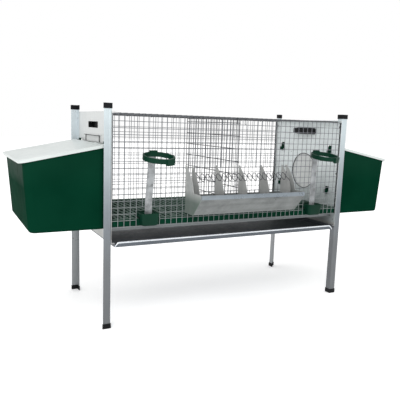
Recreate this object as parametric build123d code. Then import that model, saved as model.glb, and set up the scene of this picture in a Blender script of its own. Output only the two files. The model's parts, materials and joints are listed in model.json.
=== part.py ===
from build123d import *
import math
import os

# Rabbit cage with two nest boxes. Millimetres, X to the right, Y to the back, Z up.

# Cage and legs
cage_length = 1124.0
cage_depth = 520.0
cage_height = 876.0
leg_width = 30.0
leg_thick = 2.0
cap_height = 20.0
cap_wall = 1.5
cap_end = 3.0
cap_gap = 0.1

# Side panels of sheet
panel_thick = 1.0
panel_drop = 29.0
panel_height = 505.0
panel_top_flange = 25.0
handle_width = 148.0
handle_height = 26.0
handle_round = 6.0
handle_drop = 54.0
entrance_dia = 180.0
entrance_below_rim = 133.5
slot_y = 190.0
slot_width = 28.0
slot_below_rim = 29.0
slot_spacing = 191.0
slot_upper_height = 35.0
slot_lower_height = 26.0

# Hand grips behind the handle slots and runners under the panels
grip_depth = 22.0
grip_wall = 1.5
grip_flange = 3.0
runner_width = 12.0
runner_rise = 15.0
runner_thick = 1.0

# Rivets
rivet_dia = 4.8
rivet_head_dia = 9.0
rivet_head_height = 1.5
rivet_hole_gap = 0.1
rivet_inset = 15.0
rivet_end_inset = 30.0

# Wire nets
wire = 2.0
mesh_pitch = 25.0
mesh_below_floor = 31.0
mesh_drop = 9.0
mesh_setback = 1.0
divider_row_pitch = 55.0
divider_top_gap = 2.0

# Plastic floor on flat bars
floor_rise = 91.0
floor_height = 28.0
floor_deck = 6.0
floor_skirt = 4.0
floor_gap = 1.5
floor_seam = 0.5
floor_panels = 4
slit_length = 42.0
slit_width = 10.0
slit_pitch_x = 22.0
slit_pitch_y = 52.0
floor_border = 8.0
bar_thick = 3.0
bar_height = 20.0
bar_inset = 35.0

# Top lids
lid_rest_gap = 0.3
lid_side_shift = 6.0
lid_flange_gap = 4.0
lid_rod_dia = 3.0
lid_pivot_inset = 6.0
lid_front_reach = 8.0
ring_gap = 0.3
ring_band = 1.2
ring_width = 3.0
rings_per_lid = 4
hook_eye_band = 1.8
hook_shank = 2.4
hook_length = 24.0
hook_tip = 6.0

# Nest boxes
nest_gap = 8.0
nest_wall = 3.0
nest_rim_drop = 126.0
nest_height = 324.0
nest_rim_fall = 60.0
nest_rim_length = 310.0
nest_bottom_length = 290.0
nest_rim_inset = 13.0
nest_bottom_inset = 16.0
nest_corner = 26.0
nest_foot_round = 12.0
nest_entrance_gap = 2.0
lug_width = 22.0
lug_thick = 10.0
lug_drop = 10.0
lug_lip = 4.0
lug_behind = 6.0
lug_rest_gap = 0.2
tab_width = 30.0
tab_thick = 4.0
tab_over_slot = 3.0

# Nest lids
nest_lid_gap = 0.4
nest_lid_thick = 3.0
nest_lid_skirt = 8.0
nest_lid_skirt_wall = 2.5
nest_lid_side_gap = 1.5
nest_lid_end_gap = 11.0
nest_lid_edge_gap = 4.5
pin_dia = 3.0
pin_gap = 0.05
knuckle_dia = 7.0
knuckle_length = 24.0
knuckle_offset = 7.0
knuckle_sink = 0.2
nest_knuckles = (-190.0, 0.0, 190.0)
lid_knuckles = (-95.0, 95.0)

# Sliding nest doors
door_side_cover = 15.0
door_foot_cover = 7.5
door_above_rim = 31.0
door_thick = 1.0
door_gap = 0.3
door_lip = 9.0
guide_spacer = 2.0
guide_cover = 1.0
guide_grip = 8.0
guide_width = 11.5
guide_side_gap = 0.5
guide_head_cover = 22.5
guide_foot = 6.0
guide_rivet_dia = 3.2
guide_rivet_head = 5.6
guide_rivet_end = 20.0

# Droppings tray
tray_side_gap = 2.0
tray_rest_gap = 0.3
tray_sheet = 1.0
tray_depth = 16.0
tray_front_rise = 3.0
tray_corner = 15.0
tray_hem = 4.0
tray_front_setback = 1.0
tray_back_gap = 10.0
tray_rim_gap = 1.0

# Feeder
feeder_length = 500.0
feeder_sheet = 1.0
feeder_gap = 0.4
feeder_depth = 88.0
feeder_over_sill = 8.0
feeder_back_drop = 16.0
feeder_floor = 75.0
feeder_reach = 140.0
feeder_hem = 20.0
feeder_hem_gap = 1.2
feeder_apex_rise = 8.0
feeder_apex_depth = 6.0
feeder_slope_depth = 75.0
feeder_slope_bow = 10.0
feeder_partitions = 5
partition_end_gap = 26.0
feeder_window_cells = 4
feeder_sill_cells = 5
feeder_head_cells = 9
feeder_hook = 8.0
feeder_hook_gap = 0.3
feeder_hook_bar = 2.0
guard_dia = 3.0
guard_low = 39.0
guard_high = 86.0
guard_pitch = 25.0
guard_bend = 6.0
guard_gap = 0.05

# Drinkers
drinker_end_cells = 6
drinker_window_cells = 4
drinker_sill_cells = 0
drinker_head_cells = 3
strip_width = 30.0
strip_thick = 1.5
strip_foot_inset = 2.0
strip_upright = 54.0
strip_over_ring = 12.0
strip_lean_left = 10.0
strip_lean_right = 1.0
bottle_ring_dia = 122.0
bottle_ring_wall = 7.0
bottle_ring_band = 18.0
bottle_ring_up = 194.0
ring_lean = 10.0
ring_block_width = 32.0
ring_block_depth = 9.0
ring_block_rise = 5.0
ring_lug_width = 36.0
ring_lug_depth = 8.0
ring_lug_drop = 6.0
ring_lug_turn = 24.0
cup_width = 80.0
cup_front = 34.0
cup_height = 50.0
cup_wire_gap = 3.0
cup_wall = 2.5
cup_round = 14.0
cup_floor_gap = 1.0
cup_lip_reach = 38.0
cup_lip_gap = 4.0
cup_bridge = 3.0
cup_bridge_height = 13.0

# Planes that several pieces share
half_length = cage_length / 2
front_face = -cage_depth / 2
panel_top = cage_height - panel_drop
panel_bottom = panel_top - panel_height
floor_top = panel_bottom + floor_rise
mesh_bottom = floor_top - mesh_below_floor
mesh_top = panel_top - mesh_drop
nest_rim_z = panel_top - nest_rim_drop
nest_bottom_z = nest_rim_z - nest_height
nest_rim_outer_z = nest_rim_z - nest_rim_fall
entrance_z = nest_rim_z - entrance_below_rim
panel_outer = half_length
panel_inner = half_length - panel_thick
net_front = front_face + mesh_setback
net_middle = net_front + wire
net_back = net_middle + wire
half_wire = wire / 2


def block(x0, x1, y0, y1, z0, z1):
    centre = Pos((x0 + x1) / 2, (y0 + y1) / 2, (z0 + z1) / 2)
    return centre * Box(x1 - x0, y1 - y0, z1 - z0)


def rod_x(radius, x0, x1, y, z):
    return Pos((x0 + x1) / 2, y, z) * Rot(0, 90, 0) * Cylinder(radius, x1 - x0)


def rod_y(radius, x, y0, y1, z):
    return Pos(x, (y0 + y1) / 2, z) * Rot(90, 0, 0) * Cylinder(radius, y1 - y0)


def outline(points):
    return make_face(Polyline(*points, close=True))


# A face drawn in Y and Z, made solid from x0 to x1
def prism_x(face, x0, x1):
    return extrude(Plane.YZ.offset(x0) * face, x1 - x0)


def left_of(shape):
    return mirror(shape, about=Plane.YZ)


def back_of(shape):
    return mirror(shape, about=Plane.XZ)


# A right front piece moved to one of the four corners
def to_corner(shape, side, end):
    if side == "left":
        shape = left_of(shape)
    if end == "back":
        shape = back_of(shape)
    return shape


# What is left of a wire between start and end once the gaps are taken out
def pieces_left(start, end, gaps):
    pieces = []
    at = start
    for low, high in sorted(gaps):
        if low > at:
            pieces.append((at, low))
        at = max(at, high)
    if at < end:
        pieces.append((at, end))
    return pieces


nodes = {}

# Legs of angle section, open side outward, with a cap and a foot pushed over the ends


def angle_outline(grow):
    x0 = half_length - grow
    x1 = half_length + leg_thick + grow
    x2 = half_length + leg_width + grow
    y0 = front_face - grow
    y1 = front_face + leg_thick + grow
    y2 = front_face + leg_width + grow
    return outline([(x0, y0), (x2, y0), (x2, y1), (x1, y1), (x1, y2), (x0, y2)])


rivet_hole = rivet_dia / 2 + rivet_hole_gap
rivet_y = front_face + rivet_inset
rivet_low = panel_bottom + rivet_end_inset
rivet_high = panel_top - rivet_end_inset
rivet_heights = (rivet_low, (rivet_low + rivet_high) / 2, rivet_high)
leg_outer = panel_outer + leg_thick

leg = Pos(0, 0, cap_end) * extrude(angle_outline(0), cage_height - 2 * cap_end)
for z in rivet_heights:
    leg -= rod_x(rivet_hole, panel_inner, leg_outer + 1, rivet_y, z)
sleeve = extrude(angle_outline(cap_gap + cap_wall), cap_height)
pocket = Pos(0, 0, cap_end) * extrude(angle_outline(cap_gap), cap_height)
foot = sleeve - pocket
cap = mirror(foot, about=Plane.XY.offset(cage_height / 2))

for end in ("front", "back"):
    for side in ("left", "right"):
        nodes[f"leg_{end}_{side}"] = [to_corner(leg, side, end)]
        nodes[f"leg_cap_{end}_{side}"] = [to_corner(cap, side, end)]
        nodes[f"leg_foot_{end}_{side}"] = [to_corner(foot, side, end)]

# Side panels with handle slot, nest entrance, hook slots and a folded top edge
slot_upper = nest_rim_z - slot_below_rim
slot_lower = slot_upper - slot_spacing
panel_face = Pos(0, panel_bottom + panel_height / 2) * Rectangle(cage_depth, panel_height)
handle_place = Pos(0, panel_top - handle_drop)
panel_face -= handle_place * RectangleRounded(handle_width, handle_height, handle_round)
panel_face -= Pos(0, entrance_z) * Circle(entrance_dia / 2)
for low, height in ((slot_upper, slot_upper_height), (slot_lower, slot_lower_height)):
    for y in (-slot_y, slot_y):
        panel_face -= Pos(y, low + height / 2) * Rectangle(slot_width, height)
for z in rivet_heights:
    for y in (rivet_y, -rivet_y):
        panel_face -= Pos(y, z) * Circle(rivet_hole)

half_door = entrance_dia / 2 + door_side_cover
door_bottom = entrance_z - entrance_dia / 2 - door_foot_cover
door_top = nest_rim_z + door_above_rim
guide_inner_y = half_door + guide_side_gap
guide_outer_y = guide_inner_y + guide_width
guide_low = door_bottom - guide_foot
guide_top = entrance_z + entrance_dia / 2 + guide_head_cover
guide_rivet_low = door_bottom + guide_rivet_end
guide_rivet_high = guide_top - guide_rivet_end
guide_rivet_heights = (guide_rivet_low, (guide_rivet_low + guide_rivet_high) / 2, guide_rivet_high)
guide_rivet_y = guide_outer_y - guide_width / 2
guide_rivet_hole = guide_rivet_dia / 2 + rivet_hole_gap
for z in guide_rivet_heights:
    for y in (-guide_rivet_y, guide_rivet_y):
        panel_face -= Pos(y, z) * Circle(guide_rivet_hole)

panel = prism_x(panel_face, panel_inner, panel_outer)
flange_x = panel_inner - panel_top_flange
panel += block(flange_x, panel_inner, front_face, -front_face, panel_top - panel_thick, panel_top)
nodes["side_panel_left"] = [left_of(panel)]
nodes["side_panel_right"] = [panel]

# Angle runners along the inner lower edges of the side panels
runner_x = panel_inner - runner_width
runner_top = panel_bottom + runner_thick
runner_face_x = panel_inner - runner_thick
runner_high = panel_bottom + runner_rise
runner_flat = block(runner_x, panel_inner, front_face, -front_face, panel_bottom, runner_top)
runner_side = block(runner_face_x, panel_inner, front_face, -front_face, runner_top, runner_high)
nodes["tray_runners"] = [left_of(runner_flat), left_of(runner_side), runner_flat, runner_side]


# Hand grips: shallow cups behind the handle slots, with a flange on the inside of the panel
def grip_outline(grow):
    width = handle_width + 2 * grow
    height = handle_height + 2 * grow
    return handle_place * RectangleRounded(width, height, handle_round + grow)


grip_x0 = panel_inner - grip_depth
grip = prism_x(grip_outline(grip_flange), panel_inner - grip_wall, panel_inner)
grip += prism_x(grip_outline(grip_wall), grip_x0, panel_inner)
grip -= prism_x(grip_outline(0), grip_x0 + grip_wall, panel_inner)
nodes["handle_grips"] = [left_of(grip), grip]


# A rivet lying along X with its round head outside and its flattened end inside
def rivet_along_x(dia, head_dia, head_height, inside, outside, y, z):
    rivet = rod_x(dia / 2, inside, outside, y, z)
    rivet += rod_x(head_dia / 2, outside, outside + head_height, y, z)
    rivet += rod_x(head_dia / 2, inside - head_height, inside, y, z)
    return rivet


panel_rivets = []
for z in rivet_heights:
    for y in (rivet_y, -rivet_y):
        head = (rivet_head_dia, rivet_head_height)
        rivet = rivet_along_x(rivet_dia, *head, panel_inner, leg_outer, y, z)
        panel_rivets.append(rivet)
        panel_rivets.append(left_of(rivet))
nodes["panel_rivets"] = panel_rivets

# Front and back nets of crossed wires, upright wires outside
net_cells = 2 * round((2 * panel_inner / mesh_pitch - 1) / 2) + 1
net_pitch = (2 * panel_inner - wire) / net_cells
net_columns = [(i - net_cells / 2) * net_pitch for i in range(net_cells + 1)]
net_rows_count = round((mesh_top - mesh_bottom) / mesh_pitch)
net_row_pitch = (mesh_top - mesh_bottom - wire) / net_rows_count
net_rows = [mesh_bottom + half_wire + i * net_row_pitch for i in range(net_rows_count + 1)]
middle_column = net_cells // 2

windows = []
feeder_rows = (feeder_sill_cells, feeder_head_cells)
drinker_rows = (drinker_sill_cells, drinker_head_cells)
for place in (0, 1):
    first = middle_column + 1 + place * feeder_window_cells
    last = first + feeder_window_cells
    windows.append((first, last, *feeder_rows))
    windows.append((net_cells - last, net_cells - first, *feeder_rows))
drinker_column = net_cells - drinker_end_cells
drinker_x = net_columns[drinker_column]
first = drinker_column - drinker_window_cells // 2
last = first + drinker_window_cells
windows.append((first, last, *drinker_rows))
windows.append((net_cells - last, net_cells - first, *drinker_rows))


def front_net(openings):
    wires = []
    for i, x in enumerate(net_columns):
        gaps = []
        for first, last, low, high in openings:
            if first < i < last:
                gaps.append((net_rows[low] + half_wire, net_rows[high] - half_wire))
        for z0, z1 in pieces_left(mesh_bottom, mesh_top, gaps):
            wires.append(block(x - half_wire, x + half_wire, net_front, net_middle, z0, z1))
    for j, z in enumerate(net_rows):
        gaps = []
        for first, last, low, high in openings:
            if low < j < high:
                gaps.append((net_columns[first] + half_wire, net_columns[last] - half_wire))
        for x0, x1 in pieces_left(-panel_inner, panel_inner, gaps):
            wires.append(block(x0, x1, net_middle, net_back, z - half_wire, z + half_wire))
    return wires


nodes["front_mesh"] = front_net(windows)
nodes["back_mesh"] = [back_of(piece) for piece in front_net([])]

# Net between the two compartments, upright wires on the left of the cross wires
divider_top = mesh_top - divider_top_gap
divider_cells = round(2 * abs(net_back) / mesh_pitch)
divider_pitch = (2 * abs(net_back) - wire) / divider_cells
divider = []
for i in range(divider_cells + 1):
    y = net_back + half_wire + i * divider_pitch
    divider.append(block(-wire, 0, y - half_wire, y + half_wire, floor_top, divider_top))
divider_rows = [floor_top + half_wire]
while divider_rows[-1] + divider_row_pitch < divider_top - 2 * wire:
    divider_rows.append(divider_rows[-1] + divider_row_pitch)
divider_rows.append(divider_top - half_wire)
for z in divider_rows:
    divider.append(block(0, wire, net_back, -net_back, z - half_wire, z + half_wire))
nodes["divider_mesh"] = divider

# Plastic floor panels with slits from front to back and a skirt all round
floor_width = (2 * panel_inner - 2 * floor_gap - (floor_panels - 1) * floor_seam) / floor_panels
floor_depth = 2 * (abs(net_back) - floor_gap)
slit_columns = 1 + int((floor_width - 2 * floor_border - slit_width) / slit_pitch_x)
slit_rows = 1 + int((floor_depth - 2 * floor_border - slit_length) / slit_pitch_y)
slit_places = GridLocations(slit_pitch_x, slit_pitch_y, slit_columns, slit_rows)
slit = SlotOverall(slit_length, slit_width, rotation=90)
deck_face = Rectangle(floor_width, floor_depth) - [place * slit for place in slit_places]
skirt_face = Rectangle(floor_width, floor_depth)
skirt_face -= Rectangle(floor_width - 2 * floor_skirt, floor_depth - 2 * floor_skirt)
floor_panel = Pos(0, 0, floor_top - floor_deck) * extrude(deck_face, floor_deck)
floor_panel += Pos(0, 0, floor_top - floor_height) * extrude(skirt_face, floor_height - floor_deck)
for i in range(floor_panels):
    x = (i - (floor_panels - 1) / 2) * (floor_width + floor_seam)
    nodes[f"floor_panel_{i + 1}"] = [Pos(x, 0, 0) * floor_panel]

bar_top = floor_top - floor_height
bar_reach = cage_depth / 2 - bar_inset
for name, y in (("front", -bar_reach), ("middle", 0), ("back", bar_reach)):
    y0 = y - bar_thick / 2
    y1 = y + bar_thick / 2
    bar = block(-panel_inner, panel_inner, y0, y1, bar_top - bar_height, bar_top)
    nodes[f"floor_bar_{name}"] = [bar]

# Top lids of wire, turning on a round rod at the back, with a hook on the front rod
lid_low = mesh_top + lid_rest_gap
lid_middle = lid_low + wire
lid_high = lid_middle + wire
lid_rod_radius = lid_rod_dia / 2
lid_rod_z = lid_middle - lid_rod_radius
lid_pivot_y = -net_back - lid_pivot_inset
lid_rest_y = (net_middle + net_back) / 2
lid_front_y = lid_rest_y - lid_front_reach
lid_room = flange_x - lid_flange_gap + lid_side_shift
lid_cells = int(lid_room / net_pitch - 0.5)
lid_columns = [(k + 0.5) * net_pitch - lid_side_shift for k in range(lid_cells + 1)]
lid_x0 = lid_columns[0] - half_wire
lid_x1 = lid_columns[-1] + half_wire
lid_rows_count = round((lid_pivot_y - lid_rest_y) / mesh_pitch)
lid_row_pitch = (lid_pivot_y - lid_rest_y) / lid_rows_count

lid_wires = [rod_x(lid_rod_radius, lid_x0, lid_x1, lid_pivot_y, lid_rod_z)]
lid_wires.append(rod_x(lid_rod_radius, lid_x0, lid_x1, lid_front_y, lid_rod_z))
for j in range(lid_rows_count):
    y = lid_rest_y + j * lid_row_pitch
    lid_wires.append(block(lid_x0, lid_x1, y - half_wire, y + half_wire, lid_low, lid_middle))
for x in lid_columns:
    y0 = lid_front_y - lid_rod_radius
    y1 = lid_pivot_y + lid_rod_radius
    lid_wires.append(block(x - half_wire, x + half_wire, y0, y1, lid_middle, lid_high))
nodes["top_lid_left"] = [left_of(piece) for piece in lid_wires]
nodes["top_lid_right"] = lid_wires

# Long rings that tie the lid rods to the top wire of the back net
back_wire_y = -(net_middle + net_back) / 2
back_wire_z = mesh_top - half_wire
ring_span = math.hypot(back_wire_y - lid_pivot_y, back_wire_z - lid_rod_z)
ring_turn = math.degrees(math.atan2(back_wire_z - lid_rod_z, back_wire_y - lid_pivot_y))
ring_inner = max(lid_rod_dia, math.sqrt(2) * wire) + 2 * ring_gap
ring_face = SlotCenterToCenter(ring_span, ring_inner + 2 * ring_band)
ring_face -= SlotCenterToCenter(ring_span, ring_inner)
ring_middle = Pos((back_wire_y + lid_pivot_y) / 2, (back_wire_z + lid_rod_z) / 2)
ring_face = ring_middle * Rot(0, 0, ring_turn) * ring_face
rings = []
for i in range(rings_per_lid):
    x = round((i + 0.5) / rings_per_lid * lid_cells) * net_pitch
    ring = prism_x(ring_face, x - ring_width / 2, x + ring_width / 2)
    rings.append(ring)
    rings.append(left_of(ring))
nodes["lid_hinge_rings"] = rings

hook_eye = lid_rod_radius + ring_gap
hook_outer = hook_eye + hook_eye_band
hook_half = hook_shank / 2
hook_end = lid_rod_z - hook_eye - hook_length
hook_face = Pos(lid_front_y, lid_rod_z) * Circle(hook_outer)
hook_face += outline(
    [
        (lid_front_y - hook_half, lid_rod_z),
        (lid_front_y - hook_half, hook_end + hook_shank),
        (lid_front_y - hook_half - hook_tip, hook_end + hook_shank),
        (lid_front_y - hook_half - hook_tip, hook_end),
        (lid_front_y + hook_half, hook_end),
        (lid_front_y + hook_half, lid_rod_z),
    ]
)
hook_face -= Pos(lid_front_y, lid_rod_z) * Circle(hook_eye)
hook_x = lid_columns[0] + net_pitch / 2
lid_hook = prism_x(hook_face, hook_x - hook_half, hook_x + hook_half)
nodes["lid_hook_left"] = [left_of(lid_hook)]
nodes["lid_hook_right"] = [lid_hook]

# Sliding door of each nest entrance and the guide it runs in
door_x0 = panel_outer + door_gap
door_x1 = door_x0 + door_thick
door = block(door_x0, door_x1, -half_door, half_door, door_bottom + door_gap, door_top)
door += block(door_x0, door_x1 + door_lip, -half_door, half_door, door_top - door_thick, door_top)
nodes["nest_door_left"] = [left_of(door)]
nodes["nest_door_right"] = [door]

guide_x1 = panel_outer + guide_spacer
guide_x2 = guide_x1 + guide_cover
guide_rail = block(panel_outer, guide_x1, guide_inner_y, guide_outer_y, guide_low, guide_top)
guide_rail += block(guide_x1, guide_x2, half_door - guide_grip, guide_outer_y, guide_low, guide_top)
guide = block(panel_outer, guide_x1, -guide_outer_y, guide_outer_y, guide_low, door_bottom)
guide += guide_rail
guide += back_of(guide_rail)
guide_rivets = []
for z in guide_rivet_heights:
    for y in (-guide_rivet_y, guide_rivet_y):
        guide -= rod_x(guide_rivet_hole, panel_outer - 1, guide_x2 + 1, y, z)
        head = (guide_rivet_head, panel_thick)
        rivet = rivet_along_x(guide_rivet_dia, *head, panel_inner, guide_x2, y, z)
        guide_rivets.append(rivet)
        guide_rivets.append(left_of(rivet))
nodes["door_guide_left"] = [left_of(guide)]
nodes["door_guide_right"] = [guide]
nodes["guide_rivets"] = guide_rivets

# Nest boxes, drawn on the right: a tapered tub with rounded corners
nest_x0 = panel_outer + nest_gap
nest_rim_width = cage_depth - 2 * nest_rim_inset
nest_bottom_width = cage_depth - 2 * nest_bottom_inset
nest_slope = nest_rim_fall / nest_rim_length
nest_draft_x = (nest_rim_length - nest_bottom_length) / (nest_rim_outer_z - nest_bottom_z)
nest_draft_y = (nest_rim_width - nest_bottom_width) / 2 / (nest_rim_z - nest_bottom_z)


def nest_section(z, inset):
    rise = z - nest_bottom_z
    x1 = nest_x0 + nest_bottom_length + nest_draft_x * rise - inset
    half = nest_bottom_width / 2 + nest_draft_y * rise - inset
    x0 = nest_x0 + inset
    face = outline([(x0, -half), (x1, -half), (x1, half), (x0, half)])
    return Pos(0, 0, z) * fillet(face.vertices(), nest_corner - inset)


nest_over = nest_rim_z + nest_wall
nest_tub = loft([nest_section(nest_bottom_z, 0), nest_section(nest_over, 0)], ruled=True)
nest_tub = fillet(nest_tub.edges().group_by(Axis.Z)[0], nest_foot_round)
room_low = nest_section(nest_bottom_z + nest_wall, nest_wall)
room_high = nest_section(nest_over + nest_wall, nest_wall)
nest_room = loft([room_low, room_high], ruled=True)
nest_room = fillet(nest_room.edges().group_by(Axis.Z)[0], nest_foot_round - nest_wall)
nest = nest_tub - nest_room
rim_plane = Plane(
    origin=(nest_x0, 0, nest_rim_z), x_dir=(1, 0, -nest_slope), z_dir=(nest_slope, 0, 1)
)
nest = split(nest, bisect_by=rim_plane, keep=Keep.BOTTOM)
nest_entrance = entrance_dia / 2 + nest_entrance_gap
nest -= rod_x(nest_entrance, nest_x0 - 1, nest_x0 + nest_wall + 1, 0, entrance_z)

lug_x0 = panel_inner - lug_behind - lug_lip
for low in (slot_upper, slot_lower):
    lug_low = low + lug_rest_gap
    for y in (-slot_y, slot_y):
        y0 = y - lug_width / 2
        y1 = y + lug_width / 2
        nest += block(lug_x0, nest_x0 + nest_wall, y0, y1, lug_low, lug_low + lug_thick)
        nest += block(lug_x0, lug_x0 + lug_lip, y0, y1, lug_low - lug_drop, lug_low + lug_thick)

# Tabs on the nest that close the upper hook slots from outside
tab_top = slot_upper + slot_upper_height + tab_over_slot
for y in (-slot_y, slot_y):
    nest += block(nest_x0 - tab_thick, nest_x0, y - tab_width / 2, y + tab_width / 2, slot_upper, tab_top)

# Hinge of the nest lid along the rim beside the cage
knuckle_radius = knuckle_dia / 2
pin_radius = pin_dia / 2
pin_x = nest_x0 + knuckle_offset
pin_z = nest_rim_z - nest_slope * knuckle_offset - knuckle_sink
for y in nest_knuckles:
    y0 = y - knuckle_length / 2
    y1 = y + knuckle_length / 2
    nest += rod_y(knuckle_radius, pin_x, y0, y1, pin_z)
    nest += block(nest_x0 + nest_wall / 2, pin_x, y0, y1, pin_z - knuckle_radius, pin_z)
pin_reach = nest_knuckles[-1] + knuckle_length / 2
nest -= rod_y(pin_radius + pin_gap, pin_x, -pin_reach - pin_gap, pin_reach + pin_gap, pin_z)
nodes["nest_left"] = [left_of(nest)]
nodes["nest_right"] = [nest]

hinge_pin = rod_y(pin_radius, pin_x, -pin_reach, pin_reach, pin_z)
nodes["nest_hinge_pin_left"] = [left_of(hinge_pin)]
nodes["nest_hinge_pin_right"] = [hinge_pin]

# Nest lid: a plate on the sloping rim with a skirt outside the tub on three sides
nest_lid_x0 = knuckle_offset + nest_lid_edge_gap
lid_overhang = nest_lid_side_gap + nest_lid_skirt_wall
nest_lid_x1 = math.hypot(nest_rim_length, nest_rim_fall) + nest_lid_end_gap + nest_lid_skirt_wall
nest_lid_half = nest_rim_width / 2 + lid_overhang


def lid_outline(inset, start):
    half = nest_lid_half - inset
    end = nest_lid_x1 - inset
    face = outline([(start, -half), (end, -half), (end, half), (start, half)])
    return fillet(face.vertices().sort_by(Axis.X)[-2:], nest_corner + lid_overhang - inset)


lid_plane = rim_plane.offset(nest_lid_gap)
nest_lid = extrude(lid_plane * lid_outline(0, nest_lid_x0), nest_lid_thick)
skirt = extrude(lid_plane * lid_outline(0, nest_lid_x0), -nest_lid_skirt)
skirt -= extrude(lid_plane * lid_outline(nest_lid_skirt_wall, nest_lid_x0 - 1), -nest_lid_skirt - 1)
nest_lid += skirt
for y in lid_knuckles:
    y0 = y - knuckle_length / 2
    y1 = y + knuckle_length / 2
    nest_lid += rod_y(knuckle_radius, pin_x, y0, y1, pin_z)
    web_end = nest_x0 + nest_lid_x0 + knuckle_radius
    web_top = pin_z + nest_lid_gap + nest_lid_thick / 2
    nest_lid += block(pin_x, web_end, y0, y1, pin_z - knuckle_radius, web_top)
    nest_lid -= rod_y(pin_radius + pin_gap, pin_x, y0 - 1, y1 + 1, pin_z)
nodes["nest_lid_left"] = [left_of(nest_lid)]
nodes["nest_lid_right"] = [nest_lid]

# Droppings tray of sheets joined edge to edge, hanging by its side rims on the runners
tray_x1 = runner_x - tray_side_gap
tray_rim_x = runner_face_x - tray_rim_gap
tray_rim_z = runner_top + tray_rest_gap
tray_y0 = front_face + tray_front_setback
tray_y1 = -front_face - tray_back_gap
tray_y2 = tray_y0 + tray_sheet
tray_bottom = panel_bottom - tray_depth
tray_front_top = panel_bottom + tray_front_rise
tray_floor = tray_bottom + tray_sheet
tray_rim_top = tray_rim_z + tray_sheet
tray_y3 = tray_y1 - tray_sheet
tray_x0 = tray_x1 - tray_sheet
tray_wall = block(tray_x0, tray_x1, tray_y2, tray_y3, tray_floor, tray_rim_top)
tray_rim = block(tray_x1, tray_rim_x, tray_y2 + tray_hem, tray_y1, tray_rim_z, tray_rim_top)
tray = [block(-tray_x1, tray_x1, tray_y2, tray_y1, tray_bottom, tray_floor)]
tray.append(block(-tray_x1, tray_x1, tray_y3, tray_y1, tray_floor, tray_rim_top))
for strip in (tray_wall, tray_rim):
    tray.append(strip)
    tray.append(left_of(strip))
tray_top_x = tray_x1 - tray_corner
tray_front = outline(
    [
        (-tray_x1, tray_bottom),
        (tray_x1, tray_bottom),
        (tray_x1, tray_front_top - tray_corner),
        (tray_top_x, tray_front_top),
        (-tray_top_x, tray_front_top),
        (-tray_x1, tray_front_top - tray_corner),
    ]
)
tray.append(extrude(Plane.XZ.offset(-tray_y2) * tray_front, tray_sheet))
tray_hem_low = tray_front_top - tray_hem
tray.append(block(-tray_top_x, tray_top_x, tray_y0 - tray_sheet, tray_y0, tray_hem_low, tray_front_top))
nodes["droppings_tray"] = tray

# Feeder hanging outside the front net; depth is counted outward from its back
feeder_back = net_front - feeder_gap
feeder_half = feeder_length / 2
feeder_rim = net_rows[feeder_sill_cells] - half_wire + feeder_over_sill
feeder_bottom = feeder_rim - feeder_depth


def feeder_points(points):
    return [(feeder_back - depth, z) for depth, z in points]


half_sheet = feeder_sheet / 2
hem_depth = feeder_reach + feeder_hem_gap + feeder_sheet
trough_path = Polyline(
    *feeder_points(
        [
            (half_sheet, feeder_rim - feeder_back_drop),
            (half_sheet, feeder_bottom + half_sheet),
            (feeder_floor, feeder_bottom + half_sheet),
            (feeder_reach, feeder_rim - feeder_hem),
            (feeder_reach, feeder_rim - half_sheet),
            (hem_depth, feeder_rim - half_sheet),
            (hem_depth, feeder_rim - feeder_hem),
        ]
    )
)
trough_x = feeder_half - feeder_sheet
nodes["feeder_trough"] = [prism_x(trace(trough_path, feeder_sheet), -trough_x, trough_x)]

hook_wire_z = net_rows[feeder_head_cells]
hook_under = hook_wire_z + half_wire + feeder_hook_gap
hook_inside = net_back - net_front + feeder_gap + 2 * feeder_hook_gap
feeder_apex = hook_under + feeder_apex_rise
slope_low = (feeder_slope_depth, feeder_rim)
slope_high = (feeder_apex_depth, feeder_apex)
slope_length = math.hypot(slope_low[0] - slope_high[0], slope_high[1] - slope_low[1])
slope_in = (slope_low[0] - slope_high[0]) / slope_length
slope_up = (slope_high[1] - slope_low[1]) / slope_length
slope_middle = (
    (slope_low[0] + slope_high[0]) / 2 + slope_up * feeder_slope_bow,
    (slope_low[1] + slope_high[1]) / 2 + slope_in * feeder_slope_bow,
)


# A plate with a bowed front edge over the trough; the points run round from its top to its foot
def bowed_plate(points):
    edge = ThreePointArc(*feeder_points([slope_low, slope_middle, slope_high]))
    rest = Polyline(*feeder_points([slope_high, *points, slope_low]))
    return make_face([edge, rest])


end_face = bowed_plate(
    [
        (-hook_inside - feeder_hook_bar, feeder_apex),
        (-hook_inside - feeder_hook_bar, hook_under - feeder_hook),
        (-hook_inside, hook_under - feeder_hook),
        (-hook_inside, hook_under),
        (0, hook_under),
        (0, feeder_bottom - feeder_sheet),
        (feeder_floor + feeder_sheet, feeder_bottom - feeder_sheet),
        (feeder_reach + feeder_sheet / 2, feeder_rim - feeder_hem),
        (feeder_reach + feeder_sheet / 2, feeder_rim),
    ]
)
end_plate = prism_x(end_face, trough_x, feeder_half)
nodes["feeder_end_left"] = [left_of(end_plate)]
nodes["feeder_end_right"] = [end_plate]

partition_face = bowed_plate(
    [
        (feeder_sheet, feeder_apex),
        (feeder_sheet, feeder_bottom + feeder_sheet),
        (feeder_floor - 2 * feeder_sheet, feeder_bottom + feeder_sheet),
    ]
)
partition_pitch = (feeder_length - 2 * partition_end_gap) / (feeder_partitions - 1)
for i in range(feeder_partitions):
    x = partition_end_gap - feeder_half + i * partition_pitch
    partition = prism_x(partition_face, x - feeder_sheet / 2, x + feeder_sheet / 2)
    nodes[f"feeder_partition_{i + 1}"] = [partition]

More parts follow.
